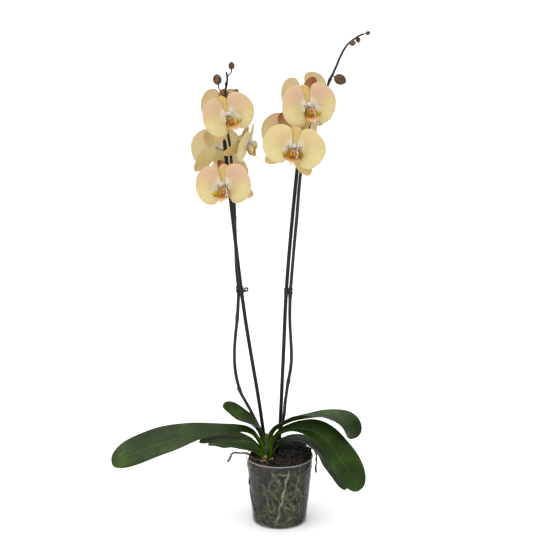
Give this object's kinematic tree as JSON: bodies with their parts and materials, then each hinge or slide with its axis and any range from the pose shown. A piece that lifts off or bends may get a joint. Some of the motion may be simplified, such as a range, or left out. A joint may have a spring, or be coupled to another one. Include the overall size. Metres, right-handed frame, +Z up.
{
  "type": "potted moth orchid",
  "caption": "Moth orchid with arching strap leaves and two staked, clipped flower spikes in a clear tapered pot of bark, apricot and yellow blooms and closed buds",
  "frame": {"origin": "middle of the flat underside of the pot, on the surface it stands on", "axes": "+Z up along the pot's axis and the plant's height; -Y towards the side that most open flowers face; +X to the right seen from that side"},
  "size_m": [0.4442, 0.1427, 0.8605],
  "materials": {
    "pot_wall": "thin clear greyish polypropylene, smooth and hazed, with a paler rim",
    "bark": "loose dark brown chipped pine bark, damp and dull",
    "leaf": "thick dark green leaf with a waxy, softly glossy skin and a lighter midrib",
    "crown": "bright green fleshy leaf bases with a brown older sheath",
    "stake": "smooth dark teal-black plastic rod",
    "clip": "moulded black plastic",
    "spike": "brown-olive living stem with pale scars at its joints",
    "bud": "closed brown-olive bud with a fine satin skin",
    "aerial_root": "dry grey-brown root skin",
    "wall_root": "moist olive-green root skin",
    "petal": "soft matt petal, apricot flushed with pink and fading to pale yellow",
    "sepal": "soft matt sepal, orange-tan with a yellow foot",
    "lip": "waxy lip, white and yellow with red-brown bars round an orange throat"
  },
  "bodies": {
    "root": {"aerial_root_across": "aerial_root", "aerial_root_left": "aerial_root", "aerial_root_right": "aerial_root", "bud_left_1": "bud", "bud_left_2": "bud", "bud_left_3": "bud", "bud_right_1": "bud", "bud_right_2": "bud", "bud_right_3": "bud", "bud_right_4": "bud", "clip_left": "clip", "clip_right": "clip", "crown": "crown", "flower_left_1_lip": "lip", "flower_left_1_petals": "petal", "flower_left_1_sepals": "sepal", "flower_left_2_lip": "lip", "flower_left_2_petals": "petal", "flower_left_2_sepals": "sepal", "flower_left_3_lip": "lip", "flower_left_3_petals": "petal", "flower_left_3_sepals": "sepal", "flower_left_4_lip": "lip", "flower_left_4_petals": "petal", "flower_left_4_sepals": "sepal", "flower_left_5_lip": "lip", "flower_left_5_petals": "petal", "flower_left_5_sepals": "sepal", "flower_left_6_lip": "lip", "flower_left_6_petals": "petal", "flower_left_6_sepals": "sepal", "flower_right_1_lip": "lip", "flower_right_1_petals": "petal", "flower_right_1_sepals": "sepal", "flower_right_2_lip": "lip", "flower_right_2_petals": "petal", "flower_right_2_sepals": "sepal", "flower_right_3_lip": "lip", "flower_right_3_petals": "petal", "flower_right_3_sepals": "sepal", "flower_right_4_lip": "lip", "flower_right_4_petals": "petal", "flower_right_4_sepals": "sepal", "growing_medium": "bark", "leaf_left_long": "leaf", "leaf_left_lower": "leaf", "leaf_left_rim": "leaf", "leaf_left_upper": "leaf", "leaf_right_back": "leaf", "leaf_right_front": "leaf", "leaf_right_upper": "leaf", "pot": "pot_wall", "spike_left": "spike", "spike_right": "spike", "stake_left": "stake", "stake_right": "stake", "wall_root_left": "wall_root", "wall_root_low": "wall_root", "wall_root_middle": "wall_root", "wall_root_right": "wall_root"}
  },
  "joints": []
}
